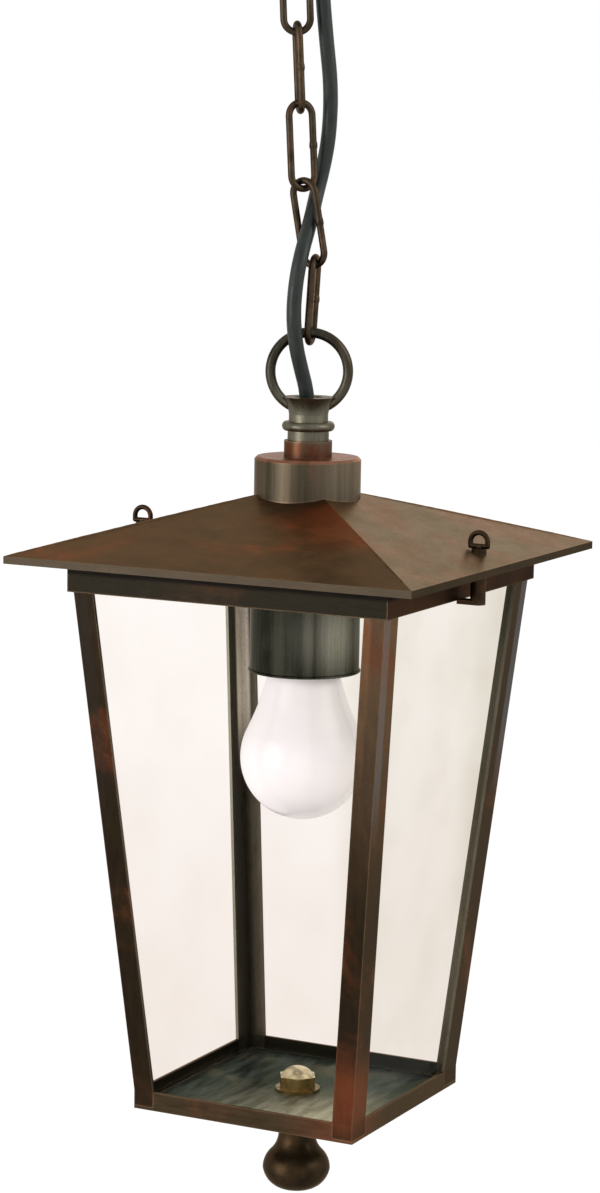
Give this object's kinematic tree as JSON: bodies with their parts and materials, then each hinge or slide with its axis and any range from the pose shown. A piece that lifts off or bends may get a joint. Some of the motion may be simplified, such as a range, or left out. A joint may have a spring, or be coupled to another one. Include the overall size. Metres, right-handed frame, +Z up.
{
  "type": "hanging lantern",
  "caption": "Square tapered glazed lantern with a pyramid roof, cup-shaded bulb and finial, hung by a chain and laced cable from a ceiling canopy.",
  "frame": {"origin": "middle of the ceiling face, on the line between the two ceiling screws", "axes": "+Z up out of the ceiling face, X along the ceiling screws and square to two lantern sides, -Y the lantern's front pane"},
  "size_m": [0.208, 0.208, 0.6561],
  "materials": {
    "frame_metal": "aged brown patina, satin",
    "chain_metal": "dark brown, worn",
    "bright_brass": "plain brass",
    "zinc_steel": "zinc plated",
    "pane_glass": "clear float glass",
    "opal_bulb": "opal white, satin",
    "porcelain": "glazed porcelain",
    "cable_rubber": "matte rubber sheath",
    "terminal_plastic": "moulded"
  },
  "bodies": {
    "ceiling": {"ceiling_bracket": "zinc_steel", "ceiling_canopy": "frame_metal", "canopy_grommet": "cable_rubber", "ceiling_loop": "chain_metal", "loop_lock_nuts": "zinc_steel", "terminal_block": "terminal_plastic", "supply_cable": "cable_rubber"},
    "link_1": {"chain_link_1": "chain_metal"},
    "link_2": {"chain_link_2": "chain_metal"},
    "link_3": {"chain_link_3": "chain_metal"},
    "link_4": {"chain_link_4": "chain_metal"},
    "link_5": {"chain_link_5": "chain_metal"},
    "lantern": {"roof": "frame_metal", "neck_drum": "frame_metal", "top_frame": "frame_metal", "base_frame": "frame_metal", "base_plate": "frame_metal", "lamp_cup": "frame_metal", "hanger_loop": "frame_metal", "finial": "frame_metal", "latch_bush_right": "frame_metal", "latch_bush_left": "frame_metal", "pane_clips": "frame_metal", "corner_post_front_right": "frame_metal", "corner_post_back_right": "frame_metal", "corner_post_back_left": "frame_metal", "corner_post_front_left": "frame_metal", "brass_cap_nut": "bright_brass", "nut_washer": "bright_brass", "screw_shell": "bright_brass", "centre_contact": "bright_brass", "stem_tube": "zinc_steel", "stem_nuts": "zinc_steel", "finial_stud": "zinc_steel", "holder_cap": "zinc_steel", "glass_pane_front": "pane_glass", "glass_pane_right": "pane_glass", "glass_pane_back": "pane_glass", "glass_pane_left": "pane_glass", "bulb": "opal_bulb", "lampholder": "porcelain", "stem_cable": "cable_rubber"},
    "latch_right": {"roof_latch_right": "frame_metal"},
    "latch_left": {"roof_latch_left": "frame_metal"}
  },
  "joints": [
    {"name": "link_1_swing", "type": "hinge", "parent": "ceiling", "child": "link_1", "pos_m": [0, 0, -0.06475], "axis": [-0.454, 0.891, 0], "range_deg": [-12, 12], "deforming": ["supply_cable"]},
    {"name": "link_2_swing", "type": "hinge", "parent": "link_1", "child": "link_2", "pos_m": [0.00155, 0.00079, -0.10021], "axis": [0.8899, 0.4534, 0.0489], "range_deg": [-12, 12], "deforming": ["supply_cable"]},
    {"name": "link_3_swing", "type": "hinge", "parent": "link_2", "child": "link_3", "pos_m": [0.00328, 0.00167, -0.13625], "axis": [-0.5734, 0.8192, -0.0075], "range_deg": [-12, 12], "deforming": ["supply_cable"]},
    {"name": "link_4_swing", "type": "hinge", "parent": "link_3", "child": "link_4", "pos_m": [0.00508, 0.00259, -0.1723], "axis": [0.5434, 0.8381, 0.0483], "range_deg": [-12, 12], "deforming": ["supply_cable"]},
    {"name": "link_5_swing", "type": "hinge", "parent": "link_4", "child": "link_5", "pos_m": [0.01039, 0.00529, -0.2079], "axis": [0.9803, -0.1443, 0.1352], "range_deg": [-12, 12], "deforming": ["supply_cable"]},
    {"name": "lantern_swing", "type": "hinge", "parent": "link_5", "child": "lantern", "pos_m": [0.00871, 0.00444, -0.24395], "axis": [-0.2422, 0.9702, -0.0118], "range_deg": [-12, 12], "deforming": ["supply_cable"]},
    {"name": "latch_right_turn", "type": "hinge", "parent": "lantern", "child": "latch_right", "pos_m": [0.09821, 0.00444, -0.35295], "axis": [0, 0, 1], "range_deg": [0, 90]},
    {"name": "latch_left_turn", "type": "hinge", "parent": "lantern", "child": "latch_left", "pos_m": [-0.08079, 0.00444, -0.35295], "axis": [0, 0, 1], "range_deg": [0, 90]}
  ]
}
